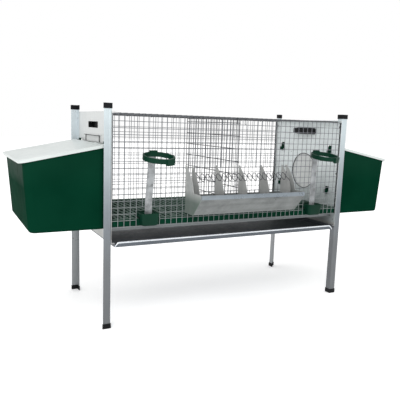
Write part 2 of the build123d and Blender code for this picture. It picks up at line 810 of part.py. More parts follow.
# Two zigzag guard wires, one over the other, laid on the bowed edges of the partitions
guard_lift = feeder_slope_bow + guard_dia / 2 + guard_gap
guard_plane = Plane(
    origin=(0, feeder_back - slope_low[0] - slope_up * guard_lift, slope_low[1] + slope_in * guard_lift),
    x_dir=(1, 0, 0),
    z_dir=(0, -slope_up, slope_in),
)
guard_count = 2 * round(feeder_length / guard_pitch / 2)
guard_wires = []
for layer in (0, 1):
    points = []
    for i in range(1, guard_count):
        height = guard_low if (i + layer) % 2 == 0 else guard_high
        points.append((-feeder_half + i * feeder_length / guard_count, height))
    layer_plane = guard_plane.offset(layer * (guard_dia + guard_gap))
    guard_path = layer_plane * FilletPolyline(*points, radius=guard_bend)
    guard_start = Plane(origin=guard_path @ 0, z_dir=guard_path % 0)
    guard_wires.append(sweep(guard_start * Circle(guard_dia / 2), path=guard_path))
nodes["feeder_guard_wire"] = guard_wires

# Drinkers: a leaning strip, a bottle ring at its top and a cup through the net at its foot
cup_bottom = net_rows[drinker_sill_cells] + half_wire + cup_wire_gap
cup_top = cup_bottom + cup_height
bridge_z = cup_top - cup_bridge_height
strip_back = net_front
strip_front = strip_back - strip_thick
strip_middle = strip_back - strip_thick / 2
strip_bottom = bridge_z + strip_foot_inset
strip_bend = strip_bottom + strip_upright
half_strip = strip_width / 2

# Bottle ring with Z zero at its middle height; its block reaches past Y zero, where the strip will lie
ring_radius = bottle_ring_dia / 2
ring_centre = ring_radius + ring_block_depth - bottle_ring_wall
half_band = bottle_ring_band / 2
half_block = ring_block_width / 2
half_lug = ring_lug_width / 2
bottle_ring = Cylinder(ring_radius, bottle_ring_band)
bottle_ring += Rot(0, 0, ring_lug_turn) * block(
    -half_lug,
    half_lug,
    -ring_radius - ring_lug_depth / 2,
    -ring_radius + ring_lug_depth,
    -half_band - ring_lug_drop,
    half_band,
)
bottle_ring = Pos(0, -ring_centre, 0) * bottle_ring
block_top = half_band + ring_block_rise
bottle_ring += block(-half_block, half_block, -ring_block_depth, ring_block_depth, -half_band, block_top)
bottle_hole = ring_radius - bottle_ring_wall
bottle_ring -= Pos(0, -ring_centre, 0) * Cylinder(bottle_hole, 4 * bottle_ring_band)

half_cup = cup_width / 2
bridge_back = strip_back + cup_bridge
cup_y0 = net_front - cup_front
cup_y1 = net_back + floor_gap - cup_floor_gap
cup_y2 = cup_y1 + cup_lip_reach


def cup_form(inset, top):
    deep = block(
        drinker_x - half_cup + inset,
        drinker_x + half_cup - inset,
        cup_y0 + inset,
        cup_y1 - inset,
        cup_bottom + inset,
        top,
    )
    front_edges = deep.edges().filter_by(Axis.Z).sort_by(Axis.Y)[:2]
    deep = fillet(front_edges, cup_round - inset)
    lip = block(
        drinker_x - half_cup + inset,
        drinker_x + half_cup - inset,
        cup_y1 - 2 * cup_wall,
        cup_y2 - inset,
        floor_top + cup_lip_gap + inset,
        top,
    )
    return deep + lip


cup = cup_form(0, cup_top) - cup_form(cup_wall, cup_top + cup_wall)
cup += block(
    drinker_x - half_cup + cup_wall,
    drinker_x + half_cup - cup_wall,
    strip_back,
    bridge_back,
    bridge_z,
    cup_top,
)

strip_rivet_z = cup_top - cup_bridge_height / 2
strip_hole = guide_rivet_dia / 2 + rivet_hole_gap
rivet_radius = guide_rivet_dia / 2
rivet_head = guide_rivet_head / 2
cup_rivet = rod_y(rivet_radius, drinker_x, strip_front, bridge_back, strip_rivet_z)
cup_rivet += rod_y(rivet_head, drinker_x, strip_front - rivet_head_height, strip_front, strip_rivet_z)
cup_rivet += rod_y(rivet_head, drinker_x, bridge_back, bridge_back + rivet_head_height, strip_rivet_z)
cup_hole = rod_y(strip_hole, drinker_x, strip_front - 1, bridge_back + 1, strip_rivet_z)
cup -= cup_hole

ring_rivet_end = strip_thick + rivet_head_height
ring_rivet = rod_y(rivet_radius, 0, -ring_block_depth / 2, strip_thick, 0)
ring_rivet += rod_y(rivet_head, 0, strip_thick, ring_rivet_end, 0)
ring_hole = rod_y(strip_hole, 0, -ring_block_depth / 2, ring_rivet_end, 0)
behind_ring = block(-ring_radius, ring_radius, 0, ring_radius, -ring_radius, ring_radius)

# Each strip has its own lean and both rings lean alike; a ring's block is cut flush with its strip
strip_length = bottle_ring_up + strip_over_ring
drinker_rivets = []
drinkers = (("left", -2 * drinker_x, strip_lean_left), ("right", 0, strip_lean_right))
for side, shift, lean_angle in drinkers:
    lean = math.radians(lean_angle)
    strip_end_y = strip_middle - strip_length * math.sin(lean)
    strip_end_z = strip_bend + strip_length * math.cos(lean)
    strip_path = Polyline(
        (strip_middle, strip_bottom), (strip_middle, strip_bend), (strip_end_y, strip_end_z)
    )
    strip = prism_x(trace(strip_path, strip_thick), drinker_x - half_strip, drinker_x + half_strip)
    ring_place = Pos(drinker_x, strip_middle, strip_bend) * Rot(lean_angle, 0, 0)
    ring_place = ring_place * Pos(0, -strip_thick / 2, bottle_ring_up)
    strip -= cup_hole
    strip -= ring_place * ring_hole
    tilted_ring = Rot(ring_lean - lean_angle, 0, 0) * bottle_ring - behind_ring - ring_hole
    move = Pos(shift, 0, 0)
    nodes[f"drinker_strip_{side}"] = [move * strip]
    nodes[f"drinker_ring_{side}"] = [move * ring_place * tilted_ring]
    nodes[f"drinker_cup_{side}"] = [move * cup]
    drinker_rivets.append(move * cup_rivet)
    drinker_rivets.append(move * ring_place * ring_rivet)
nodes["drinker_rivets"] = drinker_rivets

# Middle of the whole object to Y zero, then one file for each piece
boxes = [piece.bounding_box() for pieces in nodes.values() for piece in pieces]
middle_y = (min(box.min.Y for box in boxes) + max(box.max.Y for box in boxes)) / 2
os.makedirs("parts", exist_ok=True)
for name, pieces in nodes.items():
    placed = [Pos(0, -middle_y, 0) * piece for piece in pieces]
    shape = placed[0] if len(placed) == 1 else Compound(children=placed)
    export_step(shape, f"parts/{name}.step")
print("middle at Y", round(middle_y, 4), "nodes", len(nodes))
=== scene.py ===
"""Looks of the rabbit cage: round wires, rolled edges, finishes, light and camera.

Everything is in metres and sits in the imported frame.
"""
import json
import math
import random

import bpy
from mathutils import Matrix, Vector


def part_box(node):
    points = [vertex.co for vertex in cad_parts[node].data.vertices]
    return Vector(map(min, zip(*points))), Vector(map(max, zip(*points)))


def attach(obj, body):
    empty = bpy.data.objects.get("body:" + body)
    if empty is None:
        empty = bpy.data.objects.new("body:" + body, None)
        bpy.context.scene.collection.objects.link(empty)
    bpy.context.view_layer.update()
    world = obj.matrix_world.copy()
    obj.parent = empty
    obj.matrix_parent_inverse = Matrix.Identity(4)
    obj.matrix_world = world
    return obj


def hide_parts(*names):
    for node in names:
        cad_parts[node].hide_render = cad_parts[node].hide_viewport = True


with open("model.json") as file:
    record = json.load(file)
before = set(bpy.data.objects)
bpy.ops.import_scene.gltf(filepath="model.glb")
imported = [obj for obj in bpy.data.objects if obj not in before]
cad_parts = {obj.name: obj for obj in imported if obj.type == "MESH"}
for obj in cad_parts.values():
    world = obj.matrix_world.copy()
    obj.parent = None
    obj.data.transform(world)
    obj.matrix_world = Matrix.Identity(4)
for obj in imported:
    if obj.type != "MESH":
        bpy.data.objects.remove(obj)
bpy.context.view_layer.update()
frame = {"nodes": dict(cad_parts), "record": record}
SEED = 7
chance = random.Random(SEED)
MM = 0.001
WHITE = (1.0, 1.0, 1.0)

# Signs of the ways out of the cage along X and into it along Y
OUTWARD = {"left": -1, "right": 1}
INWARD = {"front": 1, "back": -1}

# Camera, solved from the leg ends in the photograph, whose image is 400 pixels wide
IMAGE = 400
CAMERA_PLACE = Vector((-1.136, -2.0041, 0.81))
YAW = math.radians(27.6)
PITCH = math.radians(-8.62)
ROLL = math.radians(1.96)
FOCAL_PIXELS = 501.6
SENSOR = 36.0
NEAR_CLIP = 0.05


def add_camera():
    forward = Vector((math.sin(YAW) * math.cos(PITCH), math.cos(YAW) * math.cos(PITCH), math.sin(PITCH)))
    level = Vector((math.cos(YAW), -math.sin(YAW), 0))
    upward = level.cross(forward)
    right = math.cos(ROLL) * level + math.sin(ROLL) * upward
    up = math.cos(ROLL) * upward - math.sin(ROLL) * level
    data = bpy.data.cameras.new("camera")
    data.sensor_width = SENSOR
    data.lens = FOCAL_PIXELS / IMAGE * SENSOR
    data.clip_start = NEAR_CLIP
    camera = bpy.data.objects.new("camera", data)
    turn = Matrix((right, up, -forward)).transposed().to_4x4()
    camera.matrix_world = Matrix.Translation(CAMERA_PLACE) @ turn
    bpy.context.scene.collection.objects.link(camera)
    bpy.context.scene.camera = camera


# Spans of values in the materials: a whole share, the usual values of noise, and patches cut from noise
WHOLE = (0.0, 1.0)
NOISE = (0.3, 0.7)
PATCHES = (0.35, 0.65)

# How edges and hollows are found: rays, likeness of the rounded to the true normal, openness
RAYS = 4
EDGE_LIKENESS = (0.97, 0.7)
HOLLOW_OPENNESS = (0.75, 0.1)

# Colour sockets of the Mix node
MIX_FIRST = 6
MIX_SECOND = 7
MIX_RESULT = 2


class Finish:
    """A node material: small helpers that add nodes and hand on their sockets."""

    def __init__(self, name):
        self.material = bpy.data.materials.new(name)
        self.material.use_nodes = True
        self.tree = self.material.node_tree
        self.shader = self.tree.nodes["Principled BSDF"]
        self.place = self.add("ShaderNodeTexCoord").outputs["Object"]

    def add(self, kind, **settings):
        node = self.tree.nodes.new(kind)
        for name, value in settings.items():
            setattr(node, name, value)
        return node

    def put(self, socket, value):
        if isinstance(value, bpy.types.NodeSocket):
            self.tree.links.new(value, socket)
        elif isinstance(value, tuple):
            socket.default_value = (*value, 1.0)
        else:
            socket.default_value = value

    def stretched(self, scale):
        node = self.add("ShaderNodeMapping")
        self.put(node.inputs["Vector"], self.place)
        node.inputs["Scale"].default_value = scale
        return node.outputs["Vector"]

    def noise(self, scale, detail=3.0, stretch=None):
        node = self.add("ShaderNodeTexNoise")
        self.put(node.inputs["Vector"], self.stretched(stretch) if stretch else self.place)
        node.inputs["Scale"].default_value = scale
        node.inputs["Detail"].default_value = detail
        return node.outputs["Fac"]

    def cells(self, scale):
        node = self.add("ShaderNodeTexVoronoi")
        self.put(node.inputs["Vector"], self.place)
        node.inputs["Scale"].default_value = scale
        split = self.add("ShaderNodeSeparateColor")
        self.put(split.inputs["Color"], node.outputs["Color"])
        return split.outputs["Red"]

    def upward(self, vector):
        """The Z part of a vector."""
        node = self.add("ShaderNodeSeparateXYZ")
        self.put(node.inputs["Vector"], vector)
        return node.outputs["Z"]

    def ramp(self, value, span, reach=WHOLE):
        """Maps the ends of a span to the ends of a reach, and stays within the reach."""
        node = self.add("ShaderNodeMapRange")
        self.put(node.inputs["Value"], value)
        for name, number in zip(("From Min", "From Max", "To Min", "To Max"), (*span, *reach)):
            node.inputs[name].default_value = number
        return node.outputs["Result"]

    def join(self, operation, first, second):
        node = self.add("ShaderNodeMath", operation=operation)
        self.put(node.inputs[0], first)
        self.put(node.inputs[1], second)
        return node.outputs["Value"]

    def sum(self, first, second):
        return self.join("ADD", first, second)

    def product(self, first, second):
        return self.join("MULTIPLY", first, second)

    def blend(self, share, first, second):
        node = self.add("ShaderNodeMix", data_type="RGBA")
        self.put(node.inputs["Factor"], share)
        self.put(node.inputs[MIX_FIRST], first)
        self.put(node.inputs[MIX_SECOND], second)
        return node.outputs[MIX_RESULT]

    def edge(self, radius):
        """1 along sharp outer and inner edges, 0 on open faces."""
        soft = self.add("ShaderNodeBevel", samples=RAYS)
        soft.inputs["Radius"].default_value = radius
        face = self.add("ShaderNodeNewGeometry")
        dot = self.add("ShaderNodeVectorMath", operation="DOT_PRODUCT")
        self.put(dot.inputs[0], soft.outputs["Normal"])
        self.put(dot.inputs[1], face.outputs["Normal"])
        return self.ramp(dot.outputs["Value"], EDGE_LIKENESS)

    def hollow(self, distance):
        """1 deep in corners and gaps, 0 on open faces."""
        node = self.add("ShaderNodeAmbientOcclusion", samples=RAYS)
        node.inputs["Distance"].default_value = distance
        return self.ramp(node.outputs["AO"], HOLLOW_OPENNESS)

    def bump(self, height, strength, distance):
        node = self.add("ShaderNodeBump")
        self.put(node.inputs["Height"], height)
        node.inputs["Strength"].default_value = strength
        node.inputs["Distance"].default_value = distance
        self.put(self.shader.inputs["Normal"], node.outputs["Normal"])

    def set(self, **values):
        for name, value in values.items():
            self.put(self.shader.inputs[name.replace("_", " ")], value)


# The zinc coat: scales of its patterns per metre, and what they do to colour, roughness and relief
STREAK_SCALE = 60.0
COAT_SCALE = 900.0
WEAR_SCALE = 45.0
# Hollows are darkened in patches: partly grime, partly painted shade.
GRIME_AND_SHADE_SCALE = 30.0
SPANGLE_TONES = (-0.14, 0.14)
CLOUD_TONES = (0.2, 0.75)
STREAK_TONES = (-0.12, 0.12)
WEAR_SHARES = (0.2, 1.0)
WEAR_WIDTH = 1.5 * MM
WEAR_GAIN = 1.25
WEAR_LIFT = 0.06
GRIME_AND_SHADE_NOISE = (0.25, 0.7)
GRIME_AND_SHADE_SHARES = (0.5, 1.0)
GRIME_AND_SHADE_DEPTH = 14 * MM
GRIME_AND_SHADE_TONE = 0.42
TINT_SHARES = (0.8, 1.0)
SPANGLE_ROUGH = 0.07
CLOUD_ROUGH = (-0.05, 0.08)
SPANGLE_RELIEF = (0.0, 0.4)
COAT_RELIEF = 0.12
COAT_DEPTH = 0.2 * MM

# Stretches that draw the streaks out along Z, X or Y
EVEN = (1.0, 1.0, 1.0)
DRAWN_UP = (1.0, 1.0, 0.04)
DRAWN_ALONG = (0.04, 1.0, 1.0)
DRAWN_ACROSS = (1.0, 0.05, 1.0)


def zinc(name, light, dark, metallic, rough=0.4, spangle=110.0, streak=EVEN, worn=0.5, grime_and_shade_share=0.6,
         clouds=7.0, height_tint=None, second_height_tint=None):
    """Zinc-coated steel: crystal spangle, cloudy patches, drawn streaks, bright worn edges, and hollows
    darkened in patches, partly grime and partly painted shade.

    The first of the two height tints, (colour, start, end, share), gives the coat a growing share of that
    colour from the start height to the end height, which makes it darker or paler towards the bottom or the
    top; the second is another such tint.
    """
    look = Finish(name)
    crystal = look.cells(spangle)
    cloud = look.noise(clouds, detail=4.0)
    drawn = look.noise(STREAK_SCALE, detail=2.0, stretch=streak)
    grain = look.noise(COAT_SCALE, detail=2.0)
    tone = look.sum(look.ramp(crystal, WHOLE, SPANGLE_TONES), look.ramp(cloud, NOISE, CLOUD_TONES))
    tone = look.sum(tone, look.ramp(drawn, NOISE, STREAK_TONES))
    colour = look.blend(tone, dark, light)
    patches = look.ramp(look.noise(WEAR_SCALE), PATCHES, WEAR_SHARES)
    wear = look.product(look.edge(WEAR_WIDTH), patches)
    bright = tuple(min(1.0, WEAR_GAIN * part + WEAR_LIFT) for part in light)
    colour = look.blend(look.product(wear, worn), colour, bright)
    # Hollows found by ambient occlusion are darkened in patches: partly grime, partly painted shade.
    patches = look.ramp(look.noise(GRIME_AND_SHADE_SCALE), GRIME_AND_SHADE_NOISE, GRIME_AND_SHADE_SHARES)
    grime_and_shade = look.product(look.hollow(GRIME_AND_SHADE_DEPTH), patches)
    shade_colour = tuple(GRIME_AND_SHADE_TONE * part for part in dark)
    colour = look.blend(look.product(grime_and_shade, grime_and_shade_share), colour, shade_colour)
    # Tints that grow with height make the coat darker or paler towards the bottom or the top.
    for tint in (height_tint, second_height_tint):
        if tint:
            hue, start, end, share = tint
            reach = look.ramp(look.upward(look.place), (start, end), (0.0, share))
            colour = look.blend(look.product(reach, look.ramp(cloud, NOISE, TINT_SHARES)), colour, hue)
    spangled = look.ramp(crystal, WHOLE, (rough - SPANGLE_ROUGH, rough + SPANGLE_ROUGH))
    roughness = look.sum(spangled, look.ramp(cloud, NOISE, CLOUD_ROUGH))
    look.set(Base_Color=colour, Metallic=metallic, Roughness=roughness)
    look.bump(look.sum(look.ramp(crystal, WHOLE, SPANGLE_RELIEF), grain), COAT_RELIEF, COAT_DEPTH)
    return look.material


# Moulded plastic: scales of its patterns per metre, and what they do to colour, roughness and gloss
DRIFT_SCALE = 5.0
MARK_SCALE = 24.0
SCUFF_SCALE = 50.0
SCUFF_WIDTH = 2.0 * MM
SCUFF_GAIN = 2.2
SCUFF_LIFT = 0.03
SCUFF_ROUGH = (0.0, 0.2)
# Corners and hollows are darkened: painted shade.
CORNER_SHADE_DEPTH = 12 * MM
CORNER_SHADE_TONE = 0.45
CORNER_SHADE_SHARE = 0.5
TOP_SLOPES = (0.85, 0.98)
FADED = 0.06
MARK_NOISE = (0.35, 0.7)
MARK_SMOOTHER = 0.03
MARK_ROUGHER = 0.05
SKIN_DEPTH = 0.3 * MM


def plastic(name, light, dark, rough, gloss, grain, relief, scuff, pale=None, top_tint=None, fade=None):
    """Moulded plastic: slow colour drift, fine skin, scuffed edges, handling marks, and painted shade in
    corners and hollows.

    Pale is the colour of the scuffs; without it, they are a lighter form of the light colour. With a top
    tint, (colour, share), the faces that look up take on that share of the colour. With fade, (start, end),
    the gloss grows from a small share at the start height to all of it at the end height.
    """
    look = Finish(name)
    drift = look.noise(DRIFT_SCALE)
    fine = look.noise(grain, detail=2.0)
    marks = look.noise(MARK_SCALE, detail=4.0)
    colour = look.blend(look.ramp(drift, NOISE), dark, light)
    rub = pale or tuple(min(1.0, SCUFF_GAIN * part + SCUFF_LIFT) for part in light)
    wear = look.product(look.edge(SCUFF_WIDTH), look.ramp(look.noise(SCUFF_SCALE), PATCHES))
    colour = look.blend(look.product(wear, scuff), colour, rub)
    # Painted shade: corners and hollows found by ambient occlusion are darkened.
    shade_colour = tuple(CORNER_SHADE_TONE * part for part in dark)
    colour = look.blend(look.product(look.hollow(CORNER_SHADE_DEPTH), CORNER_SHADE_SHARE), colour, shade_colour)
    # Faces that look up take on a paler colour.
    if top_tint:
        hue, share = top_tint
        face = look.add("ShaderNodeNewGeometry")
        facing_up = look.ramp(look.upward(face.outputs["Normal"]), TOP_SLOPES, (0.0, share))
        colour = look.blend(look.product(facing_up, look.ramp(drift, NOISE, TINT_SHARES)), colour, hue)
    if fade:
        gloss = look.ramp(look.upward(look.place), fade, (FADED * gloss, gloss))
    marked = look.ramp(marks, MARK_NOISE, (rough - MARK_SMOOTHER, rough + MARK_ROUGHER))
    roughness = look.sum(marked, look.ramp(wear, WHOLE, SCUFF_ROUGH))
    look.set(Base_Color=colour, Roughness=roughness, Specular_IOR_Level=gloss)
    look.bump(fine, relief, SKIN_DEPTH)
    return look.material


# Finishes: in both groups first those of the record's material slots, then those of certain pieces
ZINC_LOOKS = {
    "galvanised_sheet": dict(
        light=(0.68, 0.695, 0.69), dark=(0.54, 0.555, 0.55), metallic=0.4, streak=DRAWN_UP,
        height_tint=((0.30, 0.30, 0.285), 0.46, 0.36, 0.7)),
    "galvanised_wire": dict(
        light=(0.20, 0.213, 0.23), dark=(0.125, 0.133, 0.147), metallic=0.5, spangle=240.0,
        height_tint=((0.25, 0.275, 0.27), 0.54, 0.47, 0.8)),
    "leg_steel": dict(
        light=(0.215, 0.24, 0.262), dark=(0.147, 0.165, 0.182), metallic=0.55, rough=0.38, spangle=150.0,
        streak=DRAWN_UP, worn=0.8, height_tint=((0.118, 0.121, 0.124), 0.45, 0.25, 0.8),
        second_height_tint=((0.60, 0.68, 0.705), 0.46, 0.82, 0.9)),
    # The tray sheet is much darker than the other zinc-coated sheet: painted shade.
    "tray_sheet": dict(
        light=(0.115, 0.128, 0.146), dark=(0.06, 0.07, 0.083), metallic=0.5, rough=0.42, spangle=100.0,
        streak=DRAWN_ALONG, worn=0.8),
    "feeder_sheet": dict(
        light=(0.235, 0.247, 0.244), dark=(0.085, 0.094, 0.093), metallic=0.5, rough=0.38, spangle=80.0,
        streak=DRAWN_ALONG, worn=0.8, clouds=14.0),
    "rivet_steel": dict(
        light=(0.45, 0.46, 0.47), dark=(0.25, 0.26, 0.27), metallic=0.8, rough=0.32, spangle=500.0),
    "pin_steel": dict(
        light=(0.42, 0.43, 0.44), dark=(0.25, 0.26, 0.27), metallic=0.85, rough=0.28, spangle=400.0,
        streak=DRAWN_ACROSS),
    # The dark wire is a darker copy of the zinc-coated wire: painted shade.
    "shaded_wire": dict(
        light=(0.10, 0.105, 0.115), dark=(0.05, 0.053, 0.058), metallic=0.5, rough=0.42, spangle=240.0),
    "strip_sheet": dict(
        light=(0.40, 0.418, 0.43), dark=(0.075, 0.08, 0.083), metallic=0.5, rough=0.36, spangle=60.0,
        streak=DRAWN_UP, worn=0.8, clouds=26.0),
    "plate_sheet": dict(
        light=(0.49, 0.50, 0.49), dark=(0.345, 0.35, 0.345), metallic=0.5, streak=DRAWN_UP, worn=0.6),
    "end_sheet": dict(
        light=(0.56, 0.575, 0.565), dark=(0.40, 0.41, 0.405), metallic=0.5, streak=DRAWN_UP, worn=0.6,
        height_tint=((0.13, 0.175, 0.15), 0.545, 0.50, 0.9)),
    # The right panel's finish is a lighter copy of the zinc-coated sheet: painted light against the shade
    # inside the cage.
    "lit_right_panel": dict(
        light=(0.82, 0.87, 0.875), dark=(0.69, 0.735, 0.74), metallic=0.25, streak=DRAWN_UP,
        height_tint=((0.22, 0.255, 0.255), 0.64, 0.44, 0.8)),
    # The back legs' finish is a lighter copy of the leg steel: painted light against the shade on them.
    "lit_back_leg": dict(
        light=(0.44, 0.47, 0.49), dark=(0.31, 0.335, 0.35), metallic=0.5, rough=0.38, spangle=150.0,
        streak=DRAWN_UP, worn=0.8, height_tint=((0.20, 0.205, 0.21), 0.45, 0.25, 0.7),
        second_height_tint=((0.60, 0.665, 0.695), 0.55, 0.74, 0.9)),
    "bar_steel": dict(
        light=(0.20, 0.22, 0.225), dark=(0.11, 0.12, 0.125), metallic=0.5, rough=0.42, spangle=150.0,
        streak=DRAWN_ALONG, worn=0.6),
    # The tray's rolled hem is a much lighter copy of the tray sheet: painted highlight.
    "highlit_tray_hem": dict(
        light=(0.80, 0.83, 0.86), dark=(0.55, 0.58, 0.62), metallic=0.85, rough=0.22, spangle=130.0,
        streak=DRAWN_ALONG, worn=0.3, grime_and_shade_share=0.3),
    # The trough's lip is a lighter, bluish copy of the feeder sheet: painted reflection.
    "reflection_tinted_lip": dict(
        light=(0.24, 0.275, 0.302), dark=(0.143, 0.166, 0.188), metallic=0.6, rough=0.3, spangle=60.0,
        streak=DRAWN_ALONG, grime_and_shade_share=0.4),
}
PLASTIC_LOOKS = {
    "green_gloss_plastic": dict(
        light=(0.002, 0.029, 0.015), dark=(0.001, 0.021, 0.0105), rough=0.5, gloss=0.014, grain=900.0,
        relief=0.03, scuff=0.3, fade=(0.56, 0.65)),
    "green_plastic": dict(
        light=(0.003, 0.032, 0.018), dark=(0.002, 0.020, 0.011), rough=0.4, gloss=0.08, grain=600.0,
        relief=0.1, scuff=0.4),
    "white_plastic": dict(
        light=(0.54, 0.575, 0.565), dark=(0.46, 0.495, 0.485), rough=0.34, gloss=0.25, grain=800.0,
        relief=0.02, scuff=0.4, pale=(0.66, 0.68, 0.68)),
    "black_plastic": dict(
        light=(0.010, 0.011, 0.012), dark=(0.005, 0.005, 0.006), rough=0.5, gloss=0.1, grain=500.0,
        relief=0.14, scuff=0.35, pale=(0.05, 0.05, 0.055)),
    "floor_plastic": dict(
        light=(0.003, 0.036, 0.019), dark=(0.002, 0.024, 0.013), rough=0.65, gloss=0.01, grain=600.0,
        relief=0.1, scuff=0.2, top_tint=((0.10, 0.135, 0.12), 0.85)),
}
finishes = {name: zinc(name, **look) for name, look in ZINC_LOOKS.items()}
finishes.update({name: plastic(name, **look) for name, look in PLASTIC_LOOKS.items()})

# Nodes whose finish differs from their slot's, by the start of their names
NODE_FINISHES = {
    "drinker_strip": "strip_sheet",
    "feeder_partition": "plate_sheet",
    "feeder_end": "end_sheet",
    # The right panel takes a lighter copy of the sheet finish: painted light.
    "side_panel_right": "lit_right_panel",
    "floor_panel": "floor_plastic",
    "floor_bar": "bar_steel",
    "feeder_guard_wire": "shaded_wire",
}
for part in frame["record"]["subparts"]:
    finish = part["material_slot"]
    for start, other in NODE_FINISHES.items():
        if part["node"].startswith(start):
            finish = other
    mesh = frame["nodes"][part["node"]].data
    mesh.materials.clear()
    mesh.materials.append(finishes[finish])


def turns(count):
    """The angles of equal steps round a circle."""
    return [2 * math.pi * j / count for j in range(count)]


def spread(start, end, count):
    """Values at equal steps from the start to the end."""
    return [start + (end - start) * i / count for i in range(count + 1)]


def arc(x, y, radius, start, end, count):
    """Points at equal steps round a centre, from one angle to another."""
    angles = [math.radians(angle) for angle in spread(start, end, count)]
    return [(x + radius * math.cos(angle), y + radius * math.sin(angle)) for angle in angles]


def circle(radius, across, over, sides):
    """Steps from a centre to the points of a circle in the plane of two directions."""
    return [radius * (math.cos(turn) * across + math.sin(turn) * over) for turn in turns(sides)]


def outer(side, low, high):
    """The X of a box's end away from the cage's middle."""
    return low.x if side == "left" else high.x


def inner(side, low, high):
    """The X of a box's end towards the cage's middle."""
    return high.x if side == "left" else low.x


# Meshes: sides of round sections, steps of round corners, the wires' sway, the weld beads, and the angle
# from which an edge is sharp
WIRE_SIDES = 8
ROD_SIDES = 10
TURNED_SIDES = 14
CORNER_STEPS = 6
WIRE_SWAY = 0.12 * MM
BEAD = 1.4 * MM
BEAD_SIDES = 6
BEAD_PROFILE = ((-1.0, 0.35), (-0.4, 0.9), (0.4, 0.9), (1.0, 0.35))
SHARP = math.radians(40)


class Shape:
    """Collects closed skins and turns them into one piece."""

    def __init__(self):
        self.points = []
        self.faces = []

    def skin(self, rings, closed=False):
        """Joins rings of equal length, with end caps unless they run round."""
        start = len(self.points)
        count = len(rings[0])
        for ring in rings:
            self.points.extend(ring)
        for i in range(len(rings) if closed else len(rings) - 1):
            a = start + i * count
            b = start + (i + 1) % len(rings) * count
            for j in range(count):
                k = (j + 1) % count
                self.faces.append((a + j, a + k, b + k, b + j))
        if not closed:
            last = start + (len(rings) - 1) * count
            self.faces.append(tuple(range(start + count - 1, start - 1, -1)))
            self.faces.append(tuple(range(last, last + count)))

    def tube(self, path, radius, sides=WIRE_SIDES, closed=False, tall=1.0):
        """A round wire along a path; tall stretches its section along Z."""
        rings = []
        count = len(path)
        across = None
        for i, point in enumerate(path):
            before = path[i - 1] if closed or i > 0 else point
            after = path[(i + 1) % count] if closed or i < count - 1 else point
            ahead = (after - before).normalized()
            if across is None:
                across = ahead.orthogonal().normalized()
            across = (across - ahead * across.dot(ahead)).normalized()
            ring = []
            for step in circle(radius, across, ahead.cross(across), sides):
                step.z *= tall
                ring.append(point + step)
            rings.append(ring)
        self.skin(rings, closed)

    def wire(self, start, end, radius, step, sides=WIRE_SIDES):
        """A straight wire that sways a little between its crossings, which are a step apart."""
        along = end - start
        length = along.length
        ahead = along / length
        count = max(2, round(length / step))
        path = []
        for i in range(count + 1):
            drift = Vector([chance.uniform(-WIRE_SWAY, WIRE_SWAY) for _ in range(3)])
            path.append(start + along * (i / count) + (drift - ahead * drift.dot(ahead)))
        self.tube(path, radius, sides)

    def turned(self, base, axis, profile):
        """A profile of (along, radius) steps turned about an axis."""
        across = axis.orthogonal().normalized()
        over = axis.cross(across)
        rings = []
        for along, radius in profile:
            centre = base + axis * along
            rings.append([centre + step for step in circle(radius, across, over, TURNED_SIDES)])
        self.skin(rings)

    def bead(self, centre):
        """A small weld bead."""
        rings = []
        for height, share in BEAD_PROFILE:
            ring = []
            for turn in turns(BEAD_SIDES):
                ring.append(centre + BEAD * Vector((share * math.cos(turn), share * math.sin(turn), height)))
            rings.append(ring)
        self.skin(rings)

    def piece(self, name, body, slot, *replaced, finish=None):
        """Makes the piece, with a finish of its own or its slot's, and sets it in the frame."""
        mesh = bpy.data.meshes.new(name)
        mesh.from_pydata(self.points, [], self.faces)
        mesh.validate()
        mesh.shade_smooth()
        mesh.set_sharp_from_angle(angle=SHARP)
        mesh.materials.append(finishes[finish or slot])
        piece = bpy.data.objects.new(name, mesh)
        bpy.context.scene.collection.objects.link(piece)
        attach(piece, body)
        if replaced:
            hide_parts(*replaced)


# Welded nets: round wires in the places of the square solid ones, pressed a little into each other;
# HALF_SOLID is half the thickness of a square wire
WIRE = 1.2 * MM
HALF_SOLID = 1.0 * MM
PRESS = 0.1 * MM
NET_CELLS = 45
NET_ROWS = 17
FEEDER_CELLS = 4
FEEDER_ROWS = (5, 9)
DRINKER_CELLS = 4
DRINKER_ROWS = (0, 3)
DRINKER_FROM_END = 6


def net_windows():
    """Openings of the front net at the feeder and the drinkers, as first and last column and row."""
    middle = NET_CELLS // 2
    drinker = NET_CELLS - DRINKER_FROM_END - DRINKER_CELLS // 2
    spans = [(middle + 1 + place * FEEDER_CELLS, FEEDER_CELLS, FEEDER_ROWS) for place in (0, 1)]
    spans.append((drinker, DRINKER_CELLS, DRINKER_ROWS))
    windows = []
    for first, cells, rows in spans:
        windows.append((first, first + cells, *rows))
        windows.append((NET_CELLS - first - cells, NET_CELLS - first, *rows))
    return windows


def runs(start, end, gaps):
    """What the gaps leave of a line."""
    pieces = []
    for low, high in sorted(gaps):
        pieces.append((start, low))
        start = high
    pieces.append((start, end))
    return pieces


